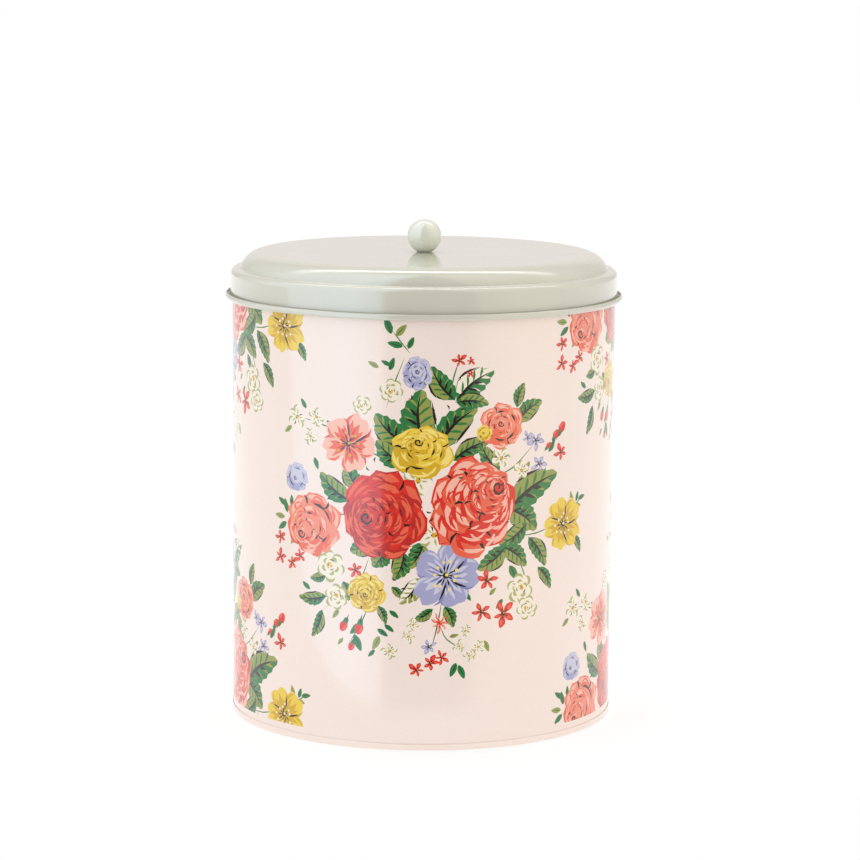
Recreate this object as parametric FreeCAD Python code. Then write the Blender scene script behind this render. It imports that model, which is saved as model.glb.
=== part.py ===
"""Round tinplate cookie tin with a slip-over lid and a ball knob.

Millimetres, +Z up. The origin is the centre of the face the tin stands on, and the tin's front faces -Y.
A tin is sheet metal turned about one axis, so each pressed part is drawn as the path that the middle of its
sheet takes in the half plane of radius and height. A path is a list of bends, and straight runs join them.
"""

import FreeCAD, Part
import math
import os

# Driving dimensions
BODY_RADIUS = 82.5  # outside of the printed wall
SHEET = 0.3  # tinplate thickness
SEAM_RING_RADIUS = 82.88  # outside of the seamed ring under the wall
SEAM_RING_HEIGHT = 2.6
RIM_HEIGHT = 192.0  # top of the wall's curled mouth
SKIRT_RADIUS = 83.28  # outside of the lid's skirt
LEDGE_HEIGHT = 193.13  # top of the flat ledge round the lid's dome
DOME_HEIGHT = 200.2  # highest ring of the lid's dome
LID_CENTRE_HEIGHT = 199.8  # the dome is dished this low under the knob
BEAD_HEIGHT = 181.3  # centre of the curl along the skirt's bottom edge
BEAD_RADIUS = 84.33
KNOB_RADIUS = 7.35
KNOB_FOOT_RADIUS = 3.0
SCREW_RADIUS = 1.5  # M3

# Details that follow from them
HALF = SHEET / 2
WALL_MIDDLE = BODY_RADIUS - HALF
SKIRT_MIDDLE = SKIRT_RADIUS - HALF
RIM_CURL_RADIUS = 1.1  # of the sheet's middle, in the wall's mouth
RIM_CURL_END = 285
SEAM_GAP = 0.08  # between the wall and the base's outer flank
HEM_INSIDE = 81.92  # inside of the hem along the wall's lower edge
HEM_HEIGHT = 2.0
LOCK_SEAM_HALF_ANGLE = 1.5  # degrees, half the width of the lock seam up the back
LOCK_SEAM_DEPTH = 0.6
LOCK_SEAM_TOP = 188.0
GROOVE_WIDTH = 0.5
GROOVE_DEPTH = 0.12
PANEL_STEP_RADIUS = 70.0
PANEL_STEP = 1.0  # the base's middle is pressed up this much
PANEL_HEIGHT = 2.5  # middle of the base's sheet beside its ring
DOME_EDGE_RADIUS = 10.31
DOME_EDGE_CENTRE = 69.43
CREASE_RADIUS = 0.5  # between the dome and the ledge, on the outside
SKIRT_CORNER_RADIUS = 2.7
BEAD_CURL_RADIUS = 1.2
BEAD_CURL_END = 430
DISH_FLAT_RADIUS = 9.0  # flat landing under the knob
DISH_BEND_RADIUS = 80.0
LID_HOLE_RADIUS = 1.7
WASHER_RADIUS = 3.5
WASHER_HOLE_RADIUS = 1.6
WASHER_THICKNESS = 0.5
SCREW_HEAD_RADIUS = 2.8
SCREW_HEAD_HEIGHT = 2.0
SCREW_HEAD_ROUNDING = 0.9
CROSS_LENGTH = 3.0
CROSS_WIDTH = 0.7
CROSS_DEPTH = 1.0
SCREW_REACH = 5.5  # how far the screw goes up into the knob
KNOB_HOLE_RADIUS = 1.55
KNOB_HOLE_DEPTH = 6.5


def bend(radius_out, height, radius, first, last):
    """An arc of the path about the centre (radius_out, height), from angle first to last in degrees."""
    return ((radius_out, height), radius, first, last)


def end(radius_out, height, angle):
    """A plain end of the path, where angle points to the sheet's left as the path runs."""
    return ((radius_out, height), 0.0, angle, angle)


def on_bend(piece, angle, offset):
    """The point of a bend at an angle, moved to the left of the path by offset."""
    (across, up), radius, first, last = piece
    reach = radius - offset if last > first else radius + offset
    turn = math.radians(angle)
    return FreeCAD.Vector(across + reach * math.cos(turn), 0, up + reach * math.sin(turn))


def side_edges(path, offset):
    """The edges along one side of the sheet."""
    edges = []
    tip = None
    for piece in path:
        radius, first, last = piece[1:]
        start = on_bend(piece, first, offset)
        if tip is not None and tip.distanceToPoint(start) > 1e-6:
            edges.append(Part.LineSegment(tip, start).toShape())
        tip = start
        if radius > 0:
            middle = on_bend(piece, (first + last) / 2, offset)
            tip = on_bend(piece, last, offset)
            edges.append(Part.Arc(start, middle, tip).toShape())
    return edges


def turned(face):
    return face.revolve(FreeCAD.Vector(0, 0, 0), FreeCAD.Vector(0, 0, 1), 360)


def pressed_sheet(path):
    """A closed solid of sheet along the path, turned about the tin's axis."""
    left = side_edges(path, HALF)
    right = side_edges(path, -HALF)
    caps = []
    for piece, angle in ((path[0], path[0][2]), (path[-1], path[-1][3])):
        caps.append(Part.LineSegment(on_bend(piece, angle, HALF), on_bend(piece, angle, -HALF)).toShape())
    wire = Part.Wire(Part.__sortEdges__(left + right + caps))
    return turned(Part.Face(wire))


def cylinder(radius, low, high):
    return Part.makeCylinder(radius, high - low, FreeCAD.Vector(0, 0, low))


def tube(inside, outside, low, high):
    return cylinder(outside, low, high).cut(cylinder(inside, low, high))


def seam_sector(inside, outside, low, high):
    """The stretch of a tube that the lock seam takes up at the back."""
    profile = Part.makePolygon([
        FreeCAD.Vector(inside, 0, low),
        FreeCAD.Vector(outside, 0, low),
        FreeCAD.Vector(outside, 0, high),
        FreeCAD.Vector(inside, 0, high),
        FreeCAD.Vector(inside, 0, low),
    ])
    axis = FreeCAD.Vector(0, 0, 1)
    sector = Part.Face(profile).revolve(FreeCAD.Vector(0, 0, 0), axis, 2 * LOCK_SEAM_HALF_ANGLE)
    sector.rotate(FreeCAD.Vector(0, 0, 0), axis, 90 - LOCK_SEAM_HALF_ANGLE)
    return sector


def make_wall():
    """Sheet rolled into a tube: a hem at the foot, an inward curl at the mouth and a lock seam up the back."""
    curl_height = RIM_HEIGHT - RIM_CURL_RADIUS - HALF
    path = [
        end(WALL_MIDDLE, SHEET, 180),
        bend(WALL_MIDDLE - RIM_CURL_RADIUS, curl_height, RIM_CURL_RADIUS, 0, RIM_CURL_END),
    ]
    wall = pressed_sheet(path)
    inner_skin = BODY_RADIUS - SHEET
    overlap = inner_skin + HALF
    hem = tube(HEM_INSIDE, overlap, SHEET, HEM_HEIGHT)
    fold = seam_sector(inner_skin - LOCK_SEAM_DEPTH, overlap, HEM_HEIGHT + SHEET, LOCK_SEAM_TOP)
    wall = wall.fuse(hem).fuse(fold)
    groove = Part.makeBox(GROOVE_WIDTH, 1.0, LOCK_SEAM_TOP - SEAM_RING_HEIGHT)
    groove_left = BODY_RADIUS * math.sin(math.radians(LOCK_SEAM_HALF_ANGLE))
    groove.translate(FreeCAD.Vector(groove_left, BODY_RADIUS - GROOVE_DEPTH, SEAM_RING_HEIGHT))
    return wall.cut(groove).removeSplitter()


def make_base():
    """Disc with a raised middle, whose edge turns down, under the wall's hem and up its outside as a ring."""
    bottom_bend = 0.2
    panel_bend = 0.5
    shoulder = 0.6
    inner_flank = HEM_INSIDE - SEAM_GAP - HALF
    outer_flank = SEAM_RING_RADIUS - HALF
    low = HALF + bottom_bend
    path = [
        end(0, PANEL_HEIGHT + PANEL_STEP, 90),
        bend(PANEL_STEP_RADIUS, PANEL_HEIGHT + PANEL_STEP - panel_bend, panel_bend, 90, 0),
        bend(PANEL_STEP_RADIUS + 2 * panel_bend, PANEL_HEIGHT + panel_bend, panel_bend, 180, 270),
        bend(inner_flank - shoulder, PANEL_HEIGHT - shoulder, shoulder, 90, 0),
        bend(inner_flank + bottom_bend, low, bottom_bend, 180, 270),
        bend(outer_flank - bottom_bend, low, bottom_bend, 270, 360),
        end(outer_flank, SEAM_RING_HEIGHT, 180),
    ]
    base = pressed_sheet(path)
    lip = [e for e in base.Edges if is_ring(e, SEAM_RING_RADIUS, SEAM_RING_HEIGHT)]
    return base.makeFillet(0.8 * SHEET, lip)


def is_ring(edge, radius, height):
    box = edge.BoundBox
    return abs(box.XMax - radius) < 1e-3 and abs(box.ZMin - height) < 1e-3 and box.ZLength < 1e-3


def make_lid():
    """One pressing: dished dome, ledge, rounded shoulder, skirt and an open outward curl at its edge."""
    landing = LID_CENTRE_HEIGHT - HALF
    dome_radius = DOME_EDGE_RADIUS - HALF
    dome_middle = DOME_HEIGHT - DOME_EDGE_RADIUS
    # the sloping run touches the bend round the landing and the arc of the dome's edge
    run = DOME_EDGE_CENTRE - DISH_FLAT_RADIUS
    rise = landing + DISH_BEND_RADIUS - dome_middle
    both = DISH_BEND_RADIUS + dome_radius
    slope = math.degrees(math.asin(both / math.hypot(run, rise)) - math.atan2(rise, run))
    # the crease is an arc that touches the dome's edge and the ledge
    crease_height = LEDGE_HEIGHT + CREASE_RADIUS
    reach = DOME_EDGE_RADIUS + CREASE_RADIUS
    lean = math.degrees(math.asin((crease_height - dome_middle) / reach))
    crease_across = DOME_EDGE_CENTRE + reach * math.cos(math.radians(lean))
    corner = SKIRT_CORNER_RADIUS - HALF
    path = [
        end(LID_HOLE_RADIUS, landing, 90),
        bend(DISH_FLAT_RADIUS, landing + DISH_BEND_RADIUS, DISH_BEND_RADIUS, 270, 270 + slope),
        bend(DOME_EDGE_CENTRE, dome_middle, dome_radius, 90 + slope, lean),
        bend(crease_across, crease_height, CREASE_RADIUS + HALF, 180 + lean, 270),
        bend(SKIRT_MIDDLE - corner, LEDGE_HEIGHT - HALF - corner, corner, 90, 0),
        bend(BEAD_RADIUS, BEAD_HEIGHT, BEAD_CURL_RADIUS, 180, BEAD_CURL_END),
    ]
    return pressed_sheet(path)


def make_knob():
    """Turned ball with a flat foot and a blind tapped hole, whose thread is drawn as a plain bore."""
    drop = math.sqrt(KNOB_RADIUS**2 - KNOB_FOOT_RADIUS**2)
    ball = Part.makeSphere(KNOB_RADIUS, FreeCAD.Vector(0, 0, LID_CENTRE_HEIGHT + drop))
    ball = ball.cut(cylinder(KNOB_RADIUS, LID_CENTRE_HEIGHT - KNOB_RADIUS, LID_CENTRE_HEIGHT))
    return ball.cut(cylinder(KNOB_HOLE_RADIUS, LID_CENTRE_HEIGHT - 1, LID_CENTRE_HEIGHT + KNOB_HOLE_DEPTH))


def make_washer():
    top = LID_CENTRE_HEIGHT - SHEET
    return tube(WASHER_HOLE_RADIUS, WASHER_RADIUS, top - WASHER_THICKNESS, top)


def make_screw():
    """Pan-head machine screw with a cross recess, driven up through the lid into the knob."""
    seat = LID_CENTRE_HEIGHT - SHEET - WASHER_THICKNESS
    under = seat - SCREW_HEAD_HEIGHT
    head = cylinder(SCREW_HEAD_RADIUS, under, seat)
    rim = [e for e in head.Edges if is_ring(e, SCREW_HEAD_RADIUS, under)]
    head = head.makeFillet(SCREW_HEAD_ROUNDING, rim)
    for size in ((CROSS_LENGTH, CROSS_WIDTH), (CROSS_WIDTH, CROSS_LENGTH)):
        corner = FreeCAD.Vector(-size[0] / 2, -size[1] / 2, under)
        head = head.cut(Part.makeBox(size[0], size[1], CROSS_DEPTH, corner))
    return head.fuse(cylinder(SCREW_RADIUS, seat, LID_CENTRE_HEIGHT + SCREW_REACH)).removeSplitter()


PARTS = {
    "wall": make_wall,
    "base": make_base,
    "lid_shell": make_lid,
    "knob": make_knob,
    "knob_washer": make_washer,
    "knob_screw": make_screw,
}


def main():
    os.makedirs("parts", exist_ok=True)
    for name, make in PARTS.items():
        shape = make()
        solids = shape.Solids
        if len(solids) != 1 or not solids[0].isValid():
            raise ValueError(f"{name} is not one valid solid")
        solids[0].exportStep(f"parts/{name}.step")
        box = shape.BoundBox
        print(f"{name}: volume {shape.Volume:.1f} mm3, z {box.ZMin:.2f} to {box.ZMax:.2f}, width {box.XLength:.2f}")


main()
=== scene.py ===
"""Looks of a round cookie tin: printed wall, enamelled slip-over lid, ball knob and seamed base.

Metres, +Z up, the tin's axis on Z and its front towards -Y. Lengths named here are in millimetres, as a tin
maker gives them, and MM turns them into metres where a mesh is made.
"""

import math
import random

import bpy
import numpy as np
from mathutils import Matrix, Vector
from mathutils.geometry import delaunay_2d_cdt


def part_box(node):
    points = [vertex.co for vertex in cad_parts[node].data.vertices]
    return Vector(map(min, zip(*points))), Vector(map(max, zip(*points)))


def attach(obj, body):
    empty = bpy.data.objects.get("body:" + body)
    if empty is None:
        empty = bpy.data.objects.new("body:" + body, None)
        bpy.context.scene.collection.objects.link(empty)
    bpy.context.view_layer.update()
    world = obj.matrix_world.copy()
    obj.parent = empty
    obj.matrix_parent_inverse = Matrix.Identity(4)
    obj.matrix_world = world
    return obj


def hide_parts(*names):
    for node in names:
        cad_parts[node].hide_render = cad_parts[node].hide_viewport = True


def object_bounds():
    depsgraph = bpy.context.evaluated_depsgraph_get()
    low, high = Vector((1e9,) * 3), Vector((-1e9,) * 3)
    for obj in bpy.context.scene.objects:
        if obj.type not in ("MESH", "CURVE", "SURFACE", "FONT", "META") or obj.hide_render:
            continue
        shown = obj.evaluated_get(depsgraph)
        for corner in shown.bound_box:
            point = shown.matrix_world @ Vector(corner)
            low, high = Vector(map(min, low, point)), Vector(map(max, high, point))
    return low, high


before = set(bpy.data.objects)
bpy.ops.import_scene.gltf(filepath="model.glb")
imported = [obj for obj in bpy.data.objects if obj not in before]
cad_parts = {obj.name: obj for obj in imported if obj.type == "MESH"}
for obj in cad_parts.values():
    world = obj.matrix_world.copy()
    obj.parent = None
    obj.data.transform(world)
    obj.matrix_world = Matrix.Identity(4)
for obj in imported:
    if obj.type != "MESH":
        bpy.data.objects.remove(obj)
cad_low, cad_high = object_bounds()

MM = 0.001


def node_size(node):
    """(outer radius, lowest height, highest height) of a turned CAD node, in millimetres."""
    low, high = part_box(node)
    return high.x / MM, low.z / MM, high.z / MM


BODY_RADIUS, WALL_LOW, RIM_HEIGHT = node_size("wall")
RING_RADIUS, BASE_LOW, PANEL_HEIGHT = node_size("base")
BEAD_REACH, BEAD_LOW, DOME_HEIGHT = node_size("lid_shell")
KNOB_RADIUS, KNOB_LOW, KNOB_TOP = node_size("knob")

SHEET = 0.3  # tinplate thickness
HALF = SHEET / 2
INNER_SKIN = BODY_RADIUS - SHEET
EDGE_ROUNDING = HALF * 0.8  # at the corners of a cut sheet

# lid
SKIRT_RADIUS = 83.28
LEDGE_DROP = 7.07  # from the dome's highest ring to the ledge
DOME_EDGE_RADIUS = 10.31
DOME_EDGE_CENTRE = 69.43
CREASE_RADIUS = 0.5
SKIRT_CORNER = 2.7
LANDING_RADIUS = 9.0  # flat middle of the dished dome
LANDING_BEND = 80.0
LID_HOLE = 1.7
BEAD_CURL = 1.2
BEAD_CURL_END = 430

# base
SEAM_GAP = 0.08
RING_HEIGHT = 2.6
RING_LEAN_RADIUS = 1.0  # the ring's top leans in and closes on the wall
RING_BEND = 0.2
PANEL_STEP = 1.0
PANEL_STEP_RADIUS = 70.0
PANEL_BEND = 0.5
PANEL_SHOULDER = 0.6

# knob
KNOB_FOOT = 3.0
KNOB_HOLE = 1.55
KNOB_HOLE_DEPTH = 6.5

# wall
RIM_CURL = 1.1
RIM_CURL_END = 285
HEM_INSIDE = 81.92
HEM_HEIGHT = 2.0
HALF_ROUND = math.pi * BODY_RADIUS
SEAM_EDGE = HALF_ROUND - 2.16  # the lock seam is this wide to each side of its middle
SEAM_SLOPE = 0.06
SEAM_DEPTH = 0.6  # how far its folds stand in from the wall
SEAM_LOW = 2.3
SEAM_TOP = 188.0
GROOVE_DEPTH = 0.12
GROOVE_START = SEAM_EDGE - 0.44  # on the outside, along one edge of the lock seam
GROOVE_END = SEAM_EDGE
GROOVE_SLOPE = 0.12
GROOVE_LEVELS = (SEAM_LOW + 0.3, SEAM_LOW + 0.4, SEAM_TOP - 0.1, SEAM_TOP)

# print
PRINT_LOW = 5.5
PRINT_TOP = 179.7
PRINT_END = HALF_ROUND - 0.35
BOUQUET_AROUND = 2.9
BOUQUET_HEIGHT = 103.2
REPEAT = 165.0  # height of one repeat of the print
FINENESS = 0.12  # the print's outlines are true to about this
WELD = 2e-3  # places nearer than this become one
COLUMNS_AT_ONCE = 12

# steps of the meshes
LATHE_STEPS = 240
KNOB_STEPS = 96
WALL_STEPS = 120  # the printed wall is flat between its upright lines
ARC_STEP = 9  # degrees of a bend between two rings
LONGEST_RUN = 12.0  # of a straight part of a sheet between two rings

# inks, as ordinary 0-255 values
INKS = {
    "red": (225, 38, 16),
    "crimson": (192, 28, 16),
    "coral": (238, 100, 68),
    "salmon": (244, 140, 112),
    "blush": (250, 188, 166),
    "brown": (30, 18, 14),
    "green": (40, 122, 58),
    "forest": (22, 76, 38),
    "olive": (150, 156, 74),
    "yellow": (240, 205, 62),
    "gold": (216, 172, 20),
    "lemon": (249, 224, 120),
    "lilac": (168, 166, 204),
    "periwinkle": (136, 136, 186),
    "mist": (206, 204, 222),
    "cream": (248, 237, 217),
    "khaki": (176, 176, 112),
    "ground": (249, 231, 221),
}
PINK_SHADE = (247, 227, 216)

# a flower's inks from pale to dark, with its line
RED = ("coral", "red", "crimson", "brown")
PINK = ("blush", "coral", "red", "brown")
SALMON = ("blush", "salmon", "coral", "brown")
YELLOW = ("lemon", "yellow", "gold", "brown")
LILAC = ("mist", "mist", "lilac", "brown")
RED_STAR = ("coral", "red", "brown")
LILAC_STAR = ("mist", "lilac", "brown")
BLUSH_STAR = ("blush", "coral", "red")

# The studio as (degrees from the front towards +X, colour): what the gloss sees, and the soft light on it all
WALLS = (
    (-166, (0.8, 0.76, 0.73)),
    (-150, (0.6, 0.58, 0.56)),
    (-125, (0.9, 0.9, 0.9)),
    (-105, (1.6, 1.75, 1.9)),
    (-42, (1.95, 2.5, 3.0)),
    (-25, (1.5, 1.8, 2.1)),
    (-22, (0.22, 0.22, 0.22)),
    (28, (0.22, 0.22, 0.22)),
    (34, (1.0, 0.95, 0.85)),
    (60, (1.4, 1.3, 1.1)),
    (100, (1.3, 1.25, 1.15)),
    (125, (0.8, 0.8, 0.8)),
    (150, (0.6, 0.58, 0.56)),
    (166, (0.8, 0.76, 0.73)),
)
WALLS_PEAK = 3.0
SOFT_LIGHT = (
    (-180, (0.89, 0.89, 0.89)),
    (-120, (0.92, 0.92, 0.93)),
    (-60, (0.95, 0.97, 0.99)),
    (0, (0.94, 0.94, 0.94)),
    (60, (0.94, 0.89, 0.83)),
    (120, (0.92, 0.9, 0.87)),
    (180, (0.89, 0.89, 0.89)),
)
SOFTBOX_PLACE = (0, 0.66, 1.9)
SOFTBOX_AIM = (0, 0, 0.1)
SOFTBOX_WIDTH = 4.4
SOFTBOX_DEPTH = 0.36
SOFTBOX_POWER = 6.5
SOFTBOX_SPREAD = 100  # degrees
FLOOR_SIDE = 5.0
FLOOR_FRONT = -0.15  # the floor ends a little way in front of the tin
FLOOR_DROP = 0.0002
FLOOR_GLOW = 0.62

CAMERA_PLACE = (0.00426, -1.38037, 0.33667)
CAMERA_DOWN = 10.248  # degrees
CAMERA_ROLL = 0.488
CAMERA_LENS = 134.49
CAMERA_SENSOR = 36
CAMERA_SHIFT = (-0.0023, 0.0922)


# ---------------------------------------------------------------- turned sheet metal

def bend(across, up, radius, first, last):
    """An arc of a sheet's middle about (across, up), from angle first to last in degrees."""
    return ((across, up), radius, first, last)


def end(across, up, angle):
    """A plain end of the sheet, where angle points to its left as the path runs."""
    return ((across, up), 0.0, angle, angle)


def towards(angle):
    """The direction at an angle in degrees, in the plane of an outline."""
    return np.array([math.cos(math.radians(angle)), math.sin(math.radians(angle))])


def on_bend(piece, angle, offset):
    """(point, normal) on the side of the sheet that lies offset to the left of its middle."""
    centre, radius, first, last = piece
    inward = last > first
    reach = radius - offset if inward else radius + offset
    out = towards(angle)
    left = -out if inward else out
    return np.array(centre) + reach * out, left if offset > 0 else -left


def sheet_side(path, offset):
    """Points and normals along one side of a sheet, with extra rings on long straight runs."""
    points = []
    for piece in path:
        radius, first, last = piece[1:]
        count = max(1, math.ceil(abs(last - first) / ARC_STEP)) if radius > 0 else 0
        for angle in np.linspace(first, last, count + 1):
            point, normal = on_bend(piece, angle, offset)
            if points:
                start = points[-1][0]
                gap = np.linalg.norm(point - start)
                if gap < 1e-6:
                    continue
                for share in np.linspace(0, 1, math.ceil(gap / LONGEST_RUN) + 1)[1:-1]:
                    points.append((start + share * (point - start), normal))
            points.append((point, normal))
    return points


def rounded_end(before, after):
    """The end of a sheet from one side to the next, with its corners rounded; both sides give way to it."""
    one, two = before[-1][0], after[0][0]
    across = (two - one) / np.linalg.norm(two - one)
    along = np.array([-across[1], across[0]])
    points = []
    for corner, angles in ((one + EDGE_ROUNDING * across, (-75, -50, -25, 0)),
                           (two - EDGE_ROUNDING * across, (0, 25, 50, 75))):
        for angle in angles:
            out = math.cos(math.radians(angle)) * along + math.sin(math.radians(angle)) * across
            points.append((corner - EDGE_ROUNDING * along + EDGE_ROUNDING * out, out))
    before[-1] = (points[0][0], before[-1][1])
    after[0] = (points[-1][0], after[0][1])
    return points


def sheet_outline(path, left, right):
    """The outline of a sheet as runs of (points, material): its left side, far end, right side and near end.

    A sheet that starts on the axis has no near end.
    """
    one = sheet_side(path, HALF)
    other = sheet_side(path, -HALF)[::-1]
    runs = [(one, left), (rounded_end(one, other), right), (other, right)]
    start_across = path[0][0][0]
    if start_across > 0:
        runs.append((rounded_end(other, one), right))
    return runs


def spot(angle, out, up):
    """A place round the axis in metres, to a millionth of a millimetre, so that faces join."""
    return tuple(round(value * MM, 9) for value in (out * math.sin(angle), -out * math.cos(angle), up))


def turned(way, angle):
    """A direction in the plane of an outline, turned round the axis."""
    return (way[0] * math.sin(angle), -way[0] * math.cos(angle), way[1])


def swept(runs, angles, place):
    """The faces of an outline carried round the axis: their corners, normals and materials."""
    corners = []
    normals = []
    slots = []
    for points, slot in runs:
        for (one, one_way), (two, two_way) in zip(points, points[1:]):
            for low, high in zip(angles, angles[1:]):
                ring = ((low, one, one_way), (low, two, two_way), (high, two, two_way), (high, one, one_way))
                corners.append([place(angle, *point) for angle, point, _ in ring])
                normals.append([turned(way, angle) for angle, _, way in ring])
                slots.append(slot)
    return corners, normals, slots


def joined_mesh(name, corners, normals, slots, materials):
    """A piece from its faces' corners, joined where they are the same place."""
    number = {}
    faces = []
    ways = []
    kept_slots = []
    for places, turns, slot in zip(corners, normals, slots):
        face = [number.setdefault(place, len(number)) for place in places]
        kept = [k for k in range(len(face)) if face[k] not in face[:k]]
        if len(kept) > 2:
            faces.append([face[k] for k in kept])
            ways += [turns[k] for k in kept]
            kept_slots.append(slot)
    mesh = bpy.data.meshes.new(name)
    mesh.from_pydata(list(number), [], faces)
    for material in materials:
        mesh.materials.append(material)
    mesh.polygons.foreach_set("material_index", kept_slots)
    mesh.polygons.foreach_set("use_smooth", [True] * len(faces))
    mesh.normals_split_custom_set(ways)
    mesh.update()
    piece = bpy.data.objects.new(name, mesh)
    bpy.context.scene.collection.objects.link(piece)
    return piece


def turned_piece(name, runs, materials, steps=LATHE_STEPS):
    """A closed mesh of revolution from an outline's runs, with the outline's own normals."""
    faces = swept(runs, np.linspace(0, 2 * math.pi, steps + 1), spot)
    return joined_mesh(name, *faces, materials)


def finish_piece(piece, node, body):
    """Puts a piece on its body in place of a CAD node."""
    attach(piece, body)
    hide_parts(node)

# ---------------------------------------------------------------- printed flowers

# A mark is (ink, outline): one flat colour and its closed outline, in painter's order. Outlines are arrays of
# complex numbers, x + yj, in millimetres on the unrolled wall, or in radii while a flower is being drawn.

def smooth(points, steps=3, closed=False):
    """A smooth line through the points."""
    points = np.array(points, complex)
    if closed:
        before, here, after, later = (np.roll(points, shift) for shift in (1, 0, -1, -2))
    else:
        padded = np.array([2 * points[0] - points[1], *points, 2 * points[-1] - points[-2]])
        before, here, after, later = padded[:-3], padded[1:-2], padded[2:-1], padded[3:]
    t = np.arange(steps) / steps
    before, here, after, later = (line[:, None] for line in (before, here, after, later))
    bend_in = 2 * before - 5 * here + 4 * after - later
    bend_out = 3 * here - before - 3 * after + later
    line = (0.5 * (2 * here + (after - before) * t + bend_in * t**2 + bend_out * t**3)).ravel()
    return line if closed else np.append(line, points[-1])


def brush(points, width, steps=2, fat=0.5):
    """A tapered brush mark along the points, widest where fat says."""
    line = smooth(points, steps)
    t = np.linspace(0, 1, len(line))
    swell = np.sin(math.pi * t ** (math.log(0.5) / math.log(fat)))
    ahead = np.gradient(line)
    side = 1j * ahead / abs(ahead) * swell * width / 2
    return np.concatenate([line + side, (line - side)[-2:0:-1]])


def polar(radius, degrees):
    return radius * np.exp(1j * np.radians(degrees))


def arc(centre, radius, middle, span, count=5):
    return centre + polar(radius, np.linspace(middle - span / 2, middle + span / 2, count))


def dot(centre, radius, count=7):
    return centre + polar(radius, np.arange(count) * 360 / count)


def placed(marks, centre, size=1.0, turn=0.0, squash=1.0):
    """Marks squashed across, made size times bigger, turned by degrees and moved to centre."""
    spin = polar(size, turn)
    return [(ink, centre + spin * (line.real * squash + 1j * line.imag)) for ink, line in marks]


def guard_petal(centre, radius, angle, span, inks, lit, chance):
    """One petal of a rose: a ruffled band with a pale rim, dark folds and a line of ink beside it."""
    pale, mid, deep, ink = inks
    ruffle = [0.82, *(chance.uniform(0.93, 1.08) for _ in range(3)), 0.82]
    rim = centre + arc(0, radius, angle, span) * ruffle
    inner = arc(centre, radius * 0.45, angle, span * 0.8, 3)
    fill = mid if lit > -0.35 else deep
    fold = pale if fill == deep else deep
    marks = [(fill, smooth([*rim, *inner[::-1]], 2, True))]
    if lit > 0.25:
        glow = arc(centre, radius * 0.86, angle + chance.uniform(-5, 5), span * 0.72, 4)
        marks.append((pale, brush(glow, radius * chance.uniform(0.2, 0.3))))
        edge = centre + arc(0, radius * 1.01, angle, span * 0.9) * ruffle
        marks.append((deep, brush(edge, radius * 0.05, 1)))
    else:
        glow = arc(centre, radius * 0.93, angle + chance.uniform(-8, 8), span * chance.uniform(0.4, 0.7), 4)
        marks.append((pale, brush(glow, radius * chance.uniform(0.07, 0.13))))
    for k in range(2):
        turn = angle + span * chance.uniform(-0.3, 0.3)
        lean = chance.choice((-1, 1)) * chance.uniform(9, 17)
        start = centre + polar(radius * chance.uniform(0.66, 0.74), turn - lean)
        stop = centre + polar(radius * chance.uniform(0.86, 0.96), turn + lean)
        middle = centre + polar(radius * chance.uniform(0.83, 0.87), turn)
        marks.append((fold, brush([start, middle, stop], radius * chance.uniform(0.05, 0.09))))
    shade = arc(centre, radius * 0.69, angle + chance.uniform(-10, 10), span * 0.7, 4)
    marks.append((deep, brush(shade, radius * 0.19)))
    side = ((0.6, 0.4), (0.8, 0.46), (0.95, 0.4))
    side = [centre + polar(radius * reach, angle - span * turn) for reach, turn in side]
    marks.append((ink, brush(side, radius * chance.uniform(0.05, 0.1))))
    return marks


def rose(heart, inks, seed, light, petals):
    """A full rose of radius 1 whose rings close in on its heart, off centre."""
    pale, mid, deep, ink = inks
    chance = random.Random(seed)
    marks = [(mid, dot(heart * 0.5, 0.6, 9))]
    for ring, count in enumerate(petals):
        inward = ring / (len(petals) - 1)
        radius = 1 - 0.8 * inward**0.85
        centre = heart * inward
        start = chance.uniform(0, 360)
        order = list(range(count))
        chance.shuffle(order)
        for k in order:
            angle = start + 360 * k / count
            lit = math.cos(math.radians(angle - light)) + chance.uniform(-0.5, 0.5)
            marks += guard_petal(centre, radius, angle, 450 / count, inks, lit, chance)
        for k in range(count):
            angle = start + 360 * k / count + chance.uniform(-20, 20)
            fold = arc(centre, radius * 0.64, angle, chance.uniform(25, 60), 3)
            marks.append((ink, brush(fold, radius * chance.uniform(0.06, 0.11))))
    marks.append((deep, dot(heart, 0.09)))
    for k in range(4):
        marks.append((ink, brush(arc(heart, 0.04 + 0.035 * k, 100 * k, 170, 4), 0.05)))
    marks.append((pale, brush(arc(heart, 0.13, light, 120, 4), 0.04)))
    return marks


def petal_outline(width, chance):
    """A broad petal from the origin to (0, 1), waved along its tip."""
    half = [0.04, 0.3 + 0.26j, 0.5 + 0.56j, 0.48 + 0.82j, 0.24 + 0.99j]
    line = [*half, 0.93j, *(-complex(p).conjugate() for p in half[::-1])]
    waved = [complex(p) * chance.uniform(0.93, 1.06) for p in line]
    return smooth([complex(p.real * width, p.imag) for p in waved], 2, True)


THROAT = (  # outline of the deeper middle of a petal
    0.02j, 0.2 + 0.28j, 0.26 + 0.6j, 0.13 + 0.46j, 0.05 + 0.74j, -0.07 + 0.48j, -0.2 + 0.66j, -0.2 + 0.28j,
)


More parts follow.
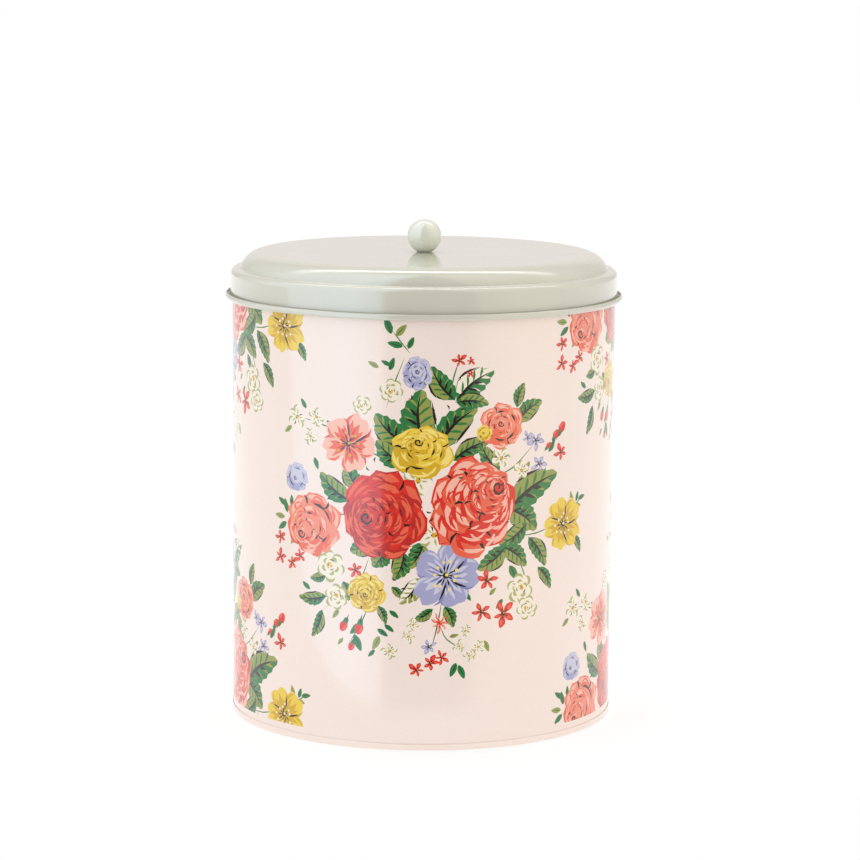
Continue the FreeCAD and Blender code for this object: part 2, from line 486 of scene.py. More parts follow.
def open_flower(inks, seed, width, stamens="gold"):
    """Flat open flower of radius 1: waved petals, a deeper throat, streaks and a ring of stamens."""
    count = 5
    outer, inner, streak, ink = inks
    chance = random.Random(seed)
    marks = []
    start = chance.uniform(0, 360)
    for k in range(count):
        turn = start + 360 * k / count + chance.uniform(-9, 9)
        petal = [(outer, petal_outline(width * chance.uniform(0.85, 1.02), chance))]
        wedge = [w * chance.uniform(0.9, 1.15) for w in THROAT]
        petal.append((inner, smooth(wedge, 2, True)))
        glow = chance.choice((-1, 1)) * width
        petal.append((inner, brush([glow * 0.3 + 0.4j, glow * 0.4 + 0.66j, glow * 0.3 + 0.92j], 0.1)))
        for side in (-0.16, -0.02, 0.13):
            reach = chance.uniform(0.4, 0.72)
            line = [side * 0.4 + 0.1j, side * 0.8 + reach * 0.6j, side * 1.2 + reach * 1j]
            petal.append((streak, brush(line, 0.07)))
        edge = [glow * -0.3 + 0.28j, glow * -0.5 + 0.56j, glow * -0.46 + 0.84j]
        petal.append((streak, brush(edge, 0.08)))
        petal.append((ink, brush([glow * -0.16 + 0.12j, glow * -0.33 + 0.34j, glow * -0.46 + 0.62j], 0.075)))
        marks += placed(petal, 0, chance.uniform(0.9, 1.04), turn)
    for k in range(count * 2):
        turn = 360 * k / (count * 2) + chance.uniform(-12, 12)
        reach = chance.uniform(0.2, 0.38)
        line = [polar(0.05, turn), polar(reach * 0.6, turn + 4), polar(reach, turn)]
        marks.append((ink, brush(line, 0.055, 1)))
        marks.append((stamens, dot(polar(reach + 0.04, turn), 0.05, 5)))
    marks.append((ink, dot(0, 0.1, 6)))
    marks.append((stamens, dot(0.03 + 0.02j, 0.055, 5)))
    return marks


def leaf(base, tip, width, lit=1, inks=("green", "olive", "brown")):
    """A toothed leaf, one half lighter than the other, with an inked midrib and veins."""
    teeth = 6
    dark, light, ink = inks
    length = abs(tip - base)
    share = np.linspace(0, 1, 2 * teeth + 1)
    swell = np.sin(math.pi * share**0.8) ** 0.8 * width / 2 / length
    swell[2:-2:2] *= 0.87
    ahead = share.copy()
    ahead[1:-1:2] += 0.2 / teeth
    bow = 0.08 * np.sin(math.pi * share)
    rib = share + 1j * bow
    one = ahead + 1j * (bow + lit * swell)
    other = ahead + 1j * (bow - lit * swell)
    marks = [(dark, np.array([*one, *other[-2:0:-1]]))]
    inside = ahead + 1j * (bow - lit * swell * 0.93)
    marks.append((light, np.array([*inside[1:], *(rib[-3:1:-2] + 1j * lit * 0.02)])))
    for k in range(1, teeth - 1):
        start = rib[2 * k]
        for side, tone in ((lit, light), (-lit, dark)):
            stop = share[2 * k] + 1.1 / teeth + 1j * (bow[2 * k] + side * swell[2 * k + 1] * 0.78)
            marks.append((tone, brush([start, (start + stop) / 2 + 0.02, stop], 0.05)))
    for k, reach in ((1, 0.55), (2, 0.66), (3, 0.45)):
        start = rib[2 * k] + 1j * lit * 0.01
        stop = start + 0.9 / teeth + 1j * lit * swell[2 * k + 1] * reach
        marks.append((ink, brush([start, (start + stop) / 2 + 0.015, stop], 0.06, 2, 0.35)))
    marks.append((ink, brush([-0.04, *rib[2:-1:2], 0.96 + 0j], 0.06, 1, 0.3)))
    marks.append((ink, brush(other[3:10:3] - 1j * lit * 0.01, 0.05)))
    spin = tip - base
    return [(tone, base + spin * line) for tone, line in marks]


def little_leaf(base, tip, inks):
    """A small untoothed leaf with a dark midrib."""
    spin = tip - base
    blade = smooth([0, 0.3 + 0.2j, 0.65 + 0.19j, 1, 0.65 - 0.17j, 0.3 - 0.2j], 2, True)
    rib = brush([0, 0.4 + 0.02j, 0.8], 0.07)
    return [(inks[0], base + spin * blade), (inks[1], base + spin * rib)]


def stem(points):
    return [("green", brush(points, 0.55, 3))]


def star(inks, seed, count=5, width=0.5):
    """A small flower of radius 1 with blunt petals, an inked edge and a dark eye."""
    pale, mid, ink = inks
    chance = random.Random(seed)
    start = chance.uniform(0, 360)
    marks = []
    for k in range(count):
        turn = start + 360 * k / count + chance.uniform(-10, 10)
        wide = width * chance.uniform(0.75, 1.1)
        right = [wide * 0.4 + 0.35j, wide * 0.5 + 0.7j]
        shape = smooth([0, *right, 0.06 + 1.05j, -wide * 0.5 + 0.68j, -wide * 0.4 + 0.35j], 2, True)
        petal = [(mid, shape), (pale, brush([0.3j, 0.06 + 0.6j, 0.9j], width * 0.5, 1)),
                 (ink, brush([0.06j, 0.02 + 0.3j, 0.55j], 0.1, 1))]
        marks += placed(petal, 0, chance.uniform(0.72, 1.12), turn)
    marks.append((ink, dot(0, 0.18, 5)))
    marks.append(("gold", dot(0.06 + 0.04j, 0.08, 4)))
    return marks


def daisy(seed):
    """A small cream flower of radius 1 with broken olive outlines."""
    chance = random.Random(seed)
    start = chance.uniform(0, 360)
    marks = []
    for k in range(5):
        turn = start + 72 * k + chance.uniform(-10, 10)
        shape = smooth([0, 0.26 + 0.4j, 0.34 + 0.78j, 0.06 + 1j, -0.32 + 0.8j, -0.26 + 0.4j], 2, True)
        side = chance.choice((-1, 1))
        edge = [side * 0.24 + 0.36j, side * 0.36 + 0.74j, side * 0.06 + 1.02j]
        petal = [("cream", shape), ("khaki", brush(edge, 0.2)), ("khaki", brush([0.2j, 0.4j, 0.7j], 0.14, 1))]
        if k % 2:
            fold = [-side * 0.1 + 0.2j, -side * 0.3 + 0.45j, -side * 0.34 + 0.7j]
            petal.append(("brown", brush(fold, 0.12, 1)))
        marks += placed(petal, 0, chance.uniform(0.85, 1.1), turn)
    marks.append(("gold", dot(0, 0.2, 6)))
    for k in range(2):
        marks.append(("brown", brush(arc(0, 0.16, start + 150 * k, 90, 3), 0.1, 1)))
    return marks


def blossom(seed):
    """A full cream flower of radius 1, drawn with broken olive outlines."""
    chance = random.Random(seed)
    start = chance.uniform(0, 360)
    marks = []
    for radius, count in ((0.64, 6), (0.36, 5)):
        for k in range(count):
            turn = start + 360 * k / count + chance.uniform(-8, 8)
            centre = polar(radius * 0.85, turn)
            marks.append(("cream", smooth(dot(centre, radius * 0.62, 6), 2, True)))
            edge = arc(centre, radius * 0.58, turn + chance.uniform(-50, 50), 150, 4)
            marks.append(("khaki", brush(edge, chance.uniform(0.12, 0.22), 2)))
            if k % 2:
                edge = arc(centre, radius * 0.34, turn + chance.uniform(90, 270), 120, 3)
                marks.append((chance.choice(("khaki", "brown")), brush(edge, 0.08, 1)))
        start += 30
    marks.append(("cream", dot(0, 0.28)))
    marks.append(("gold", brush(arc(0, 0.2, start, 200, 4), 0.16)))
    marks.append(("gold", dot(0.05, 0.1, 5)))
    for k in range(3):
        marks.append(("brown", brush(arc(0, 0.12 + 0.13 * k, start + 140 * k, 70, 3), 0.07)))
    return marks


def small_rose(inks, seed, petals=(6, 5, 4)):
    """A rose of radius 1 with few rings, for the middle-sized flowers."""
    return rose(polar(0.12, seed * 40), inks, seed, 60, petals)


def bud(base, tip):
    """A closed flower in its green cup."""
    spin = tip - base
    shape = smooth([0.25, 0.5 + 0.26j, 0.85 + 0.2j, 1, 0.85 - 0.2j, 0.5 - 0.26j], 2, True)
    marks = [("red", shape), ("coral", brush([0.45 + 0.12j, 0.7 + 0.14j, 0.92 + 0.04j], 0.16))]
    marks.append(("green", smooth([0, 0.12 + 0.15j, 0.5 + 0.2j, 0.34, 0.5 - 0.2j, 0.12 - 0.15j], 1, True)))
    marks.append(("forest", brush([-0.25, 0.1, 0.4], 0.09)))
    return [(ink, base + spin * line) for ink, line in marks]


def ticks(places):
    """Loose dashes of ink among the leaves."""
    chance = random.Random(1)
    marks = []
    for place in places:
        turn = chance.uniform(0, 360)
        line = [place, place + polar(1.2, turn), place + polar(2.4, turn + 25)]
        marks.append(("brown", brush(line, 0.72)))
    return marks

# ---------------------------------------------------------------- bouquet

# Places are complex numbers, x + yj, in millimetres from the bouquet's middle.
STEMS = (
    [-8 + 63j, -12 + 68j, -16 + 73j], [-10.5 + 66j, -7.5 + 67j, -6.8 + 70j],
    [4 + 22j, 14 + 21j, 26 + 27j, 34 + 34j], [38 - 14j, 48 - 13.5j, 56 - 11.5j],
    [28 + 12j, 36 + 15j, 46 + 24j], [36 - 18j, 42 - 30j, 42 - 38j], [-2 + 8j, -20 + 20j, -30 + 24j],
    [-26 - 2j, -40 - 6j, -52 - 12j], [-24 - 20j, -30 - 34j, -46 - 46j], [-24 - 40j, -28 - 50j, -34 - 60j],
    [6 - 38j, 4 - 50j, 1 - 62j], [5 - 50j, 8 - 56j, 16 - 61j], [8 + 44j, 10 + 54j, 12 + 60j],
    [-18 + 40j, -14 + 52j, -10 + 62j], [-34 + 28j, -46 + 32j, -56 + 34j],
    [70 - 6j, 73 - 3j, 76 - 1j],
)
LEAVES = (  # base, tip, width, lighter side
    (-2.6 + 26j, -3.4 + 48.5j, 15.5, 1), (-8 + 25j, -22.5 + 38j, 12, -1), (3 + 24j, 20 + 41j, 12, 1),
    (-9 + 17j, -22 + 27j, 10, 1), (10.5 + 44j, 0.5 + 58j, 10, -1), (10 + 19j, 26 + 27j, 8, -1),
    (-33 + 1j, -47 + 12j, 9.5, 1), (-29 + 6j, -35 + 17j, 8.5, -1), (37.6 + 40j, 41 + 50j, 5.5, 1),
    (38 + 34j, 50 + 42j, 8.5, 1), (34 - 3j, 59 + 11j, 14, -1), (34 - 2j, 48 - 12j, 12, 1),
    (43 - 9j, 30 - 17j, 8.5, 1), (32 - 18j, 43 - 27j, 8.5, 1), (33 - 18j, 20.5 - 27j, 9, -1),
    (44 - 15j, 53 - 28j, 7.5, -1), (70 - 17j, 75 - 25j, 4.2, 1), (49 - 28j, 56 - 38j, 5.5, 1),
    (-24 - 15j, -33 - 20j, 9, -1), (-18 - 18j, -23 - 26j, 9, 1), (-10 - 19j, -14 - 31j, 9, 1),
    (-2 - 15j, -8 - 26j, 9, -1), (7 - 42j, 10.5 - 51j, 5.5, 1), (2 - 43j, -6 - 48j, 4.5, -1),
    (-36 - 33j, -33.5 - 41j, 5, 1), (-44 - 40j, -58 - 41.5j, 6, 1), (-46 - 46j, -51 - 58j, 5.5, -1),
    (-44 - 31j, -52 - 33j, 4.5, 1), (-21 - 42j, -17.5 - 50j, 4, 1), (-15 - 34j, -11 - 39j, 3.6, 1),
    (30 + 14j, 21.5 + 26j, 7, 1),
)
SMALL_LEAVES = (  # base, tip
    (-15.7 + 71j, -18.5 + 78j), (-14 + 70j, -9.5 + 75j), (-11 + 66j, -17.5 + 67.5j), (-9 + 65j, -6.5 + 70j),
    (-21 + 57j, -25.5 + 59.5j), (-16.5 + 56j, -14.5 + 61.5j), (-16 + 58j, -20 + 60j),
    (69 - 3j, 67.5 + 2j), (71.5 - 3j, 73 + 1.5j), (73 - 2j, 78 - 1j), (70 - 4j, 75 - 5j),
    (-65 - 4j, -70 - 1j), (-64.5 - 7j, -66 - 1j), (-66 - 9j, -72 - 8.5j), (-65 - 11j, -70 - 14.5j),
    (-62 - 4j, -62 + 1j), (-60 - 16j, -62.5 - 20j),
    (-28 - 50j, -33 - 55j), (-21 - 52j, -16.5 - 55j), (-20 - 55j, -23 - 61j), (-18 - 50j, -14 - 53j),
    (-31 - 55j, -28 - 62j), (-36 - 57j, -38.5 - 60j), (12 - 66j, 9.5 - 72j), (13 - 67j, 15.5 - 73j),
    (24 - 57j, 26 - 62j), (-22 - 61j, -25 - 64j), (54 + 20j, 57.5 + 25j), (44 + 17j, 42 + 13j),
    (-40 + 30j, -44 + 34j), (-54 + 38j, -57 + 42j), (-62 + 30j, -66 + 27j), (-50 + 18j, -48 + 13j),
    (15 - 36j, 18 - 40j), (26 - 38j, 29 - 35j), (35 - 26j, 39 - 33j), (-52 - 38j, -56 - 35j),
    (-38 - 45j, -41 - 49j), (-16 - 44j, -12 - 47j), (32 - 40j, 29 - 44j), (9 - 55j, 13 - 54j),
)
DAISIES = (  # place, size
    (-59 + 34j, 4.2), (-49 + 34.9j, 3.4), (-52 + 26.6j, 3.2), (30.6 + 19.2j, 4), (40.2 + 13.5j, 3.6),
    (-4.4 + 10.7j, 5.4), (-15.7 - 61.2j, 3.2), (-7.9 - 54.8j, 2.6), (-6.1 - 49.8j, 2.4), (13.1 - 59j, 2.4),
    (17.5 - 63.3j, 2.4), (21.5 - 59.7j, 2.6), (15.7 - 52.6j, 2.2),
)
RED_STARS = (  # place, size
    (-68.7 - 17.8j, 3.4), (-68.7 - 26j, 3.2), (-61.7 - 27.7j, 3.2), (-57.2 - 24.2j, 3.0), (25 - 31.6j, 4.8),
    (22.7 - 44.8j, 4.6), (32.3 - 46.2j, 5.2), (-4.4 - 69j, 3.4), (1.2 - 66j, 3.4), (5.8 - 63.6j, 3),
    (61.2 + 19.2j, 3.6), (-30.6 - 27.7j, 3),
)
LILAC_STARS = (
    (47.2 + 25.6j, 4.4), (43 + 27j, 3), (49 + 15.6j, 4.2), (0.5 - 59j, 3.8),
)
BUDS = (  # base, tip
    (59 + 26j, 63 + 32j), (56 + 24j, 59 + 29j), (-34 - 48j, -37 - 54j), (-28 - 48j, -29.5 - 55j),
    (-31 - 57j, -33 - 62j), (52 + 21j, 55 + 24j),
)
TICKS = (
    -8 + 44j, 3 + 46j, 6 + 49j, 8 + 40j, 13 + 37j, 15 + 40j, -22 + 20j, -26 + 16j, -38 + 2j, -44 + 1j,
    -15 - 30j, -9 - 35j, 28 - 20j, 30 + 8j, 33 + 11j, 40 - 1j, 22 + 24j, 12 + 12j, -1 - 2j, 0 - 6j,
)


def foliage():
    """Stems and leaves, back to front."""
    marks = []
    for line in STEMS:
        marks += stem(line)
    for base, tip, width, lit in LEAVES:
        marks += leaf(base, tip, width, lit)
    marks += leaf(11 + 43.5j, 27 + 56j, 12, -1, ("green", "cream", "brown"))
    marks += leaf(11 + 43j, 25 + 42j, 7, -1)
    marks += leaf(-3 - 30j, -12 - 41j, 8, 1, ("olive", "cream", "brown"))
    for k, (base, tip) in enumerate(SMALL_LEAVES):
        marks += little_leaf(base, tip, ("olive", "green") if k % 3 == 1 else ("green", "forest"))
    return marks


def flowers():
    """Every flower as (marks, place, size), back to front."""
    return [
        (blossom(11), -15.7 + 47.7j, 5.2),
        (blossom(12), -28 + 41.3j, 4.2),
        (placed(small_rose(LILAC, 2), 0, squash=0.9), -5.2 + 55j, 6.8),
        (star(RED_STAR, 3), 12.2 + 60.2j, 3.5),
        (star(RED_STAR, 5), 17 + 60j, 1.9),
        (star(RED_STAR, 6), 17 + 54.8j, 1.8),
        *((daisy(21 + k), place, size * 1.15) for k, (place, size) in enumerate(DAISIES)),
        (daisy(34), 2.3 - 12j, 6.5),
        (open_flower(PINK, 7, 0.9), -34 + 24.9j, 13),
        (blossom(13), -42 - 27j, 7),
        (blossom(14), -39.3 - 39.8j, 5.6),
        (blossom(15), 40.2 - 36.3j, 6.6),
        (blossom(16), 43.7 - 44.8j, 5.4),
        (small_rose(SALMON, 3), 30.9 + 32.7j, 9.4),
        (small_rose(YELLOW, 4, (5, 4)), 23 + 30j, 3.4),
        (small_rose(LILAC, 5, (5, 4)), -59.4 + 8.5j, 6),
        (rose(-0.45 - 0.35j, SALMON, 8, 60, (6, 5, 5, 4)), -50.7 - 10j, 13.2),
        (open_flower(("yellow", "gold", "gold", "brown"), 9, 0.86, "cream"), 62.9 - 11.4j, 12),
        (open_flower(("lilac", "mist", "periwinkle", "brown"), 10, 0.92, "lemon"), 7.3 - 29j, 14.5),
        (small_rose(YELLOW, 6, (6, 6, 5, 4)), -25.9 - 37j, 8),
        *((star(RED_STAR, 40 + k), place, size * 1.1) for k, (place, size) in enumerate(RED_STARS)),
        *((star(LILAC_STAR, 60 + k), place, size) for k, (place, size) in enumerate(LILAC_STARS)),
        (star(BLUSH_STAR, 70, 7, 0.3), 5.2 - 49j, 4.6),
        *((bud(base, tip), 0, 1) for base, tip in BUDS),
        (placed(rose(-0.1 + 0.4j, YELLOW, 21, 60, (5, 5, 4, 4)), 0, squash=1.2), -3.1 + 22.4j, 10.6),
        (placed(rose(0.58 + 0.4j, PINK, 31, 150, (7, 6, 6, 6, 5, 4, 3)), 0, squash=0.92), 18.7 - 0.7j, 19.8),
        (placed(rose(-0.42 - 0.06j, RED, 41, 35, (7, 6, 6, 5, 4, 3)), 0, squash=0.95), -18.7 - 4.3j, 18.6),
    ]


def bouquet():
    """The whole bouquet about its middle, from the leaves behind to the flowers in front."""
    marks = foliage()
    for flower, place, size in flowers():
        marks += placed(flower, place, size)
    return marks + ticks(TICKS)

# ---------------------------------------------------------------- printed wall

# The wall is drawn unrolled, x in millimetres round it from its front towards +X and y in height, and is then
# rolled up. Its two ends meet in the middle of the lock seam at the back.

def wall_columns():
    """Where the wall's upright lines stand: even steps, with a few more along the lock seam."""
    even = np.linspace(-HALF_ROUND, HALF_ROUND, WALL_STEPS + 1)
    edges = [PRINT_END, SEAM_EDGE, SEAM_EDGE + SEAM_SLOPE]
    grooved = [GROOVE_START, GROOVE_START + GROOVE_SLOPE, GROOVE_END - GROOVE_SLOPE]
    return np.array(sorted([*even, *edges, *(-edge for edge in edges), *grooved]))


def outside_radius(around, up):
    """Radius of the outside, which a groove runs up along one edge of the lock seam."""
    if not (GROOVE_START < around < GROOVE_END and GROOVE_LEVELS[0] < up < GROOVE_LEVELS[-1]):
        return BODY_RADIUS
    return BODY_RADIUS - min(GROOVE_DEPTH, around - GROOVE_START, GROOVE_END - around)


def rolled(angle, out, up):
    """A spot of the wall, true to a thousandth of a millimetre."""
    return spot(angle, round(out, 3), round(up, 3))


def inside_spot(angle, out, up):
    """The spot of a place on the inside's outline: the lock seam's folds stand in from it."""
    on_skin = abs(out - INNER_SKIN) < 1e-6 and SEAM_LOW < up < SEAM_TOP
    folded = on_skin and abs(angle) * BODY_RADIUS > SEAM_EDGE + SEAM_SLOPE / 2
    return rolled(angle, out - SEAM_DEPTH if folded else out, up)


def clipped(line, turn, limit):
    """The part of a closed outline where its places, times turn, have a real part above the limit."""
    ahead = (line * turn).real - limit
    if ahead.min() >= 0:
        return line
    kept = []
    for k in range(len(line)):
        if (ahead[k - 1] < 0) != (ahead[k] < 0):
            share = ahead[k - 1] / (ahead[k - 1] - ahead[k])
            kept.append(line[k - 1] + (line[k] - line[k - 1]) * share)
        if ahead[k] >= 0:
            kept.append(line[k])
    return np.array(kept)


def marks_between(marks, turn, low, high):
    """The marks' parts in a band across the unrolled wall: upright for turn 1, level for turn -1j."""
    parts = [(ink, clipped(line, turn, low)) for ink, line in marks if (line * turn).real.max() > low]
    parts = [(ink, clipped(line, -turn, -high)) for ink, line in parts if (line * turn).real.min() < high]
    return [(ink, line) for ink, line in parts if len(line) > 2]


def printed_marks():
    """Every mark round the wall: four columns of bouquets, every other one half a repeat higher and lower."""
    one = bouquet()
    marks = []
    for column in range(-2, 3):
        for row in (0,) if column % 2 == 0 else (-1, 1):
            middle = complex(BOUQUET_AROUND + column * HALF_ROUND / 2, BOUQUET_HEIGHT + row * REPEAT / 2)
            marks += [(ink, line + middle) for ink, line in one]
    return marks_between(marks_between(marks, 1, -PRINT_END, PRINT_END), -1j, PRINT_LOW, PRINT_TOP)


def inks_at(places, marks):
    """The ink that lies on top at each place."""
    shown = np.full(len(places), "ground", object)
    for ink, line in marks:
        level = places.imag
        near = np.flatnonzero((level > line.imag.min()) & (level < line.imag.max()))
        if len(near) == 0:
            continue
        spot = places[near][:, None]
        after = np.roll(line, -1)
        crossed = (line.imag > spot.imag) != (after.imag > spot.imag)
        rise = np.where(after.imag == line.imag, 1, after.imag - line.imag)
        meets = line.real + (after.real - line.real) * (spot.imag - line.imag) / rise
        inside = (crossed & (spot.real < meets)).sum(1) % 2 == 1
        shown[near[inside]] = ink
    return shown


def triangulated(points, lines, outlines, marks):
    """Places, triangles and the ink of each triangle."""
    spots = [Vector((place.real, place.imag)) for place in points]
    places, _, faces = delaunay_2d_cdt(spots, lines, outlines, 0, WELD, False)[:3]
    places = np.array([complex(*place) for place in places])
    faces = np.array(faces)
    return places, faces, inks_at(places[faces].mean(axis=1), marks)


def inked_edges(faces, inks):
    """The edges of a strip that have another ink on their other side, or nothing."""
    beside = {}
    for face, ink in zip(faces.tolist(), inks):
        for k in range(3):
            beside[face[k - 1], face[k]] = ink
    return [edge for edge, ink in beside.items() if beside.get(edge[::-1], "nothing") != ink]


def simplified(edges, held):
    """Edges with the places left out where a line hardly turns, unless they are held."""
    beside = {}
    for a, b in edges:
        beside.setdefault(a, set()).add(b)
        beside.setdefault(b, set()).add(a)
    for place in sorted(beside, key=lambda p: (p.real, p.imag)):
        if len(beside[place]) != 2 or held(place):
            continue
        a, b = beside[place]
        if b in beside[a]:
            continue
        along = b - a
        share = ((place - a) * along.conjugate()).real / abs(along)**2
        if abs(place - a - along * min(max(share, 0), 1)) < FINENESS / 2:
            beside[a].remove(place)
            beside[b].remove(place)
            beside[a].add(b)
            beside[b].add(a)
            beside[place] = set()
    return [(a, b) for a in beside for b in beside[a] if (a.real, a.imag) < (b.real, b.imag)]


def on_grid(value, low, high):
    """A value on a grid as coarse as FINENESS, or one of its limits where it is near or past them."""
    near = round(value / FINENESS) * FINENESS
    return low if near - low < FINENESS / 2 else high if high - near < FINENESS / 2 else near


def strip_edges(marks, low, high, bottom, top):
    """The visible edges of the print in one upright strip."""
    points = [complex(x, y) for x, y in ((low, bottom), (high, bottom), (high, top), (low, top))]
    outlines = [[0, 1, 2, 3]]
    for _, line in marks:
        outlines.append(list(range(len(points), len(points) + len(line))))
        points.extend(line)
    places, faces, inks = triangulated(points, [], outlines, marks)
    snapped = [complex(on_grid(p.real, low, high), on_grid(p.imag, bottom, top)) for p in places]
    edges = {(snapped[a], snapped[b]) for a, b in inked_edges(faces, inks)}
    sides = (low, high)
    edges = {(a, b) for a, b in edges if a != b and not (a.real == b.real and a.real in sides)}
    edges = {(a, b) if (a.real, a.imag) < (b.real, b.imag) else (b, a) for a, b in edges}
    edges = {(a, b) for a, b in edges if a.imag != b.imag or a.imag not in (bottom, top)}
    return simplified(edges, lambda place: place.real in sides)


def drawn_strips(marks, columns, bottom, top):
    """Every upright strip of the unrolled outside as (places, faces, inks), matched along their sides."""
    strips = []
    levels = [{bottom, top} for _ in columns]
    for first in range(0, len(columns) - 1, COLUMNS_AT_ONCE):
        last = min(first + COLUMNS_AT_ONCE, len(columns) - 1)
        band = marks_between(marks, 1, columns[first], columns[last])
        for k in range(first, last):
            here = marks_between(band, 1, columns[k], columns[k + 1])
            edges = strip_edges(here, columns[k], columns[k + 1], bottom, top)
            for place in (place for edge in edges for place in edge):
                for side in (k, k + 1):
                    if place.real == columns[side]:
                        levels[side].add(place.imag)
            strips.append((here, edges))
    grooved = [k for k, column in enumerate(columns) if GROOVE_START <= column <= GROOVE_END]
    for k in grooved:
        levels[k] |= set(GROOVE_LEVELS)
    drawn = []
    for k, (here, edges) in enumerate(strips):
        sides = [[complex(columns[side], y) for y in sorted(levels[side])] for side in (k, k + 1)]
        across = (bottom, *GROOVE_LEVELS, top) if k in grooved[:-1] else (bottom, top)
        for side in sides:
            edges += zip(side, side[1:])
        edges += [(complex(columns[k], y), complex(columns[k + 1], y)) for y in across]
        points = sorted({place for edge in edges for place in edge}, key=lambda p: (p.real, p.imag))
        number = {place: n for n, place in enumerate(points)}
        lines = [(number[a], number[b]) for a, b in edges]
        drawn.append(triangulated(points, lines, [], here))
    return drawn


def wall_inside():
    """Outline of the wall from its lower edge up the inside, through the curled mouth, to the outside."""
    fold = np.array([HEM_INSIDE + HALF, HEM_HEIGHT - HALF])
    curl_up = RIM_HEIGHT - RIM_CURL - HALF
    down, inward, up = (np.array(way, float) for way in ((0, -1), (-1, 0), (0, 1)))
    foot = [(np.array([out, WALL_LOW]), down) for out in (BODY_RADIUS, HEM_INSIDE)]
    hem = [(foot[-1][0], inward)]
    hem += [(fold + HALF * towards(angle), towards(angle)) for angle in (180, 150, 120, 90)]
    shelf = [(hem[-1][0], up), (np.array([INNER_SKIN, HEM_HEIGHT]), up)]
    seam_levels = SEAM_LOW, SEAM_LOW + SEAM_SLOPE, SEAM_TOP - SEAM_SLOPE, SEAM_TOP
    levels = sorted([HEM_HEIGHT, *seam_levels, *range(20, 181, 20)])
    skin = [(np.array([INNER_SKIN, level]), inward) for level in levels]
    curl = bend(BODY_RADIUS - HALF - RIM_CURL, curl_up, RIM_CURL, 0, RIM_CURL_END)
    angles = np.linspace(0, RIM_CURL_END, math.ceil(RIM_CURL_END / ARC_STEP) + 1)
    skin += [on_bend(curl, angle, HALF) for angle in angles]
    outer = [on_bend(curl, angle, -HALF) for angle in angles[::-1]]
    along = outer[0][0] - skin[-1][0]
    cap_normal = np.array([-along[1], along[0]]) / np.linalg.norm(along)
    cap = [(skin[-1][0], cap_normal), (outer[0][0], cap_normal)]
    return [(foot, 0), (hem, 1), (shelf, 1), (skin, 1), (cap, 1), (outer, 0)]


def make_wall(varnish, tinplate):
    """The rolled wall: print outside, tinplate inside, curled mouth, hem and lock seam."""
    columns = wall_columns()
    inside = wall_inside()
    corners, normals, slots = swept(inside, columns / BODY_RADIUS, inside_spot)
    inks = ["ground"] * len(corners)
    outer_run = inside[-1][0]
    top = outer_run[-1][0][1]
    for places, faces, shown in drawn_strips(printed_marks(), columns, WALL_LOW, top):
        spots = []
        ways = []
        for place in places:
            side = columns[np.searchsorted(columns, place.real - 1e-4)]
            around = side if abs(side - place.real) < 1e-4 else place.real
            spots.append(rolled(around / BODY_RADIUS, outside_radius(around, place.imag), place.imag))
            ways.append(turned((1, 0), around / BODY_RADIUS))
        corners += [[spots[k] for k in face] for face in faces.tolist()]
        normals += [[ways[k] for k in face] for face in faces.tolist()]
        slots += [0] * len(faces)
        inks += shown.tolist()
    piece = joined_mesh("wall_printed", corners, normals, slots, (varnish, tinplate))
    colours = {name: rgb(*colour) for name, colour in INKS.items()}
    tones = [colours[ink] for ink, face in zip(inks, corners) for _ in face]
    print_layer = piece.data.attributes.new("print", "FLOAT_COLOR", "CORNER")
    print_layer.data.foreach_set("color", np.array(tones).ravel())
    return piece

# ---------------------------------------------------------------- materials

def rgb(red, green, blue):
    """A linear colour from ordinary 0-255 values."""
    shades = []
    for value in (red, green, blue):
        value /= 255
        shades.append(value / 12.92 if value <= 0.04045 else ((value + 0.055) / 1.055) ** 2.4)
    return (*shades, 1.0)


def add(tree, kind, inputs, **settings):
    """A shader node with its settings, and with its inputs set, or linked where they are given a socket."""
    made = tree.nodes.new("ShaderNode" + kind)
    for name, value in settings.items():
        setattr(made, name, value)
    for key, value in inputs.items():
        if isinstance(value, bpy.types.NodeSocket):
            tree.links.new(value, made.inputs[key])
        else:
            made.inputs[key].default_value = value
    return made


def noise(tree, scale, detail=2.0, stretch=1.0):
    """Noise over the object, in repeats per metre, and stretch times as many upwards."""
    place = add(tree, "TexCoord", {}).outputs["Object"]
    mapping = add(tree, "Mapping", {"Vector": place, "Scale": (scale, scale, scale * stretch)})
    texture = add(tree, "TexNoise", {"Vector": mapping.outputs["Vector"], "Scale": 1.0, "Detail": detail})
    return texture.outputs["Fac"]


def spread(tree, value, low, high):
    """A noise value stretched to run from low to high."""
    limits = {"From Min": 0.3, "From Max": 0.7, "To Min": low, "To Max": high}
    return add(tree, "MapRange", {"Value": value, **limits}).outputs["Result"]


def mixed(tree, share, one, other, how="MIX"):
    """A colour between one and other, either of which may be a socket."""
    return add(tree, "Mix", {0: share, 6: one, 7: other}, data_type="RGBA", blend_type=how).outputs[2]


def bumps(tree, height, depth_mm):
    return add(tree, "Bump", {"Distance": depth_mm * MM, "Height": height}).outputs["Normal"]


def new_material(name, look):
    """A material from a function that gives the inputs of its shader."""
    material = bpy.data.materials.new(name)
    material.use_nodes = True
    tree = material.node_tree
    tree.nodes.clear()
    shader = add(tree, "BsdfPrincipled", look(tree))
    add(tree, "OutputMaterial", {"Surface": shader.outputs["BSDF"]})
    return material


def gloss_enamel(name, one, other, roughness=(0.16, 0.24), coat=0.5, peel=0.0015):
    """Baked enamel: a faint cloudiness in the colour, orange peel in the gloss and a clear top layer."""
    return new_material(name, lambda tree: {
        "Base Color": mixed(tree, spread(tree, noise(tree, 24, 3), 0, 1), rgb(*one), rgb(*other)),
        "Roughness": spread(tree, noise(tree, 60, 3), *roughness),
        "Normal": bumps(tree, noise(tree, 420, 1), peel),
        "Coat Weight": coat,
        "Coat Roughness": 0.06,
        "IOR": 1.5,
    })


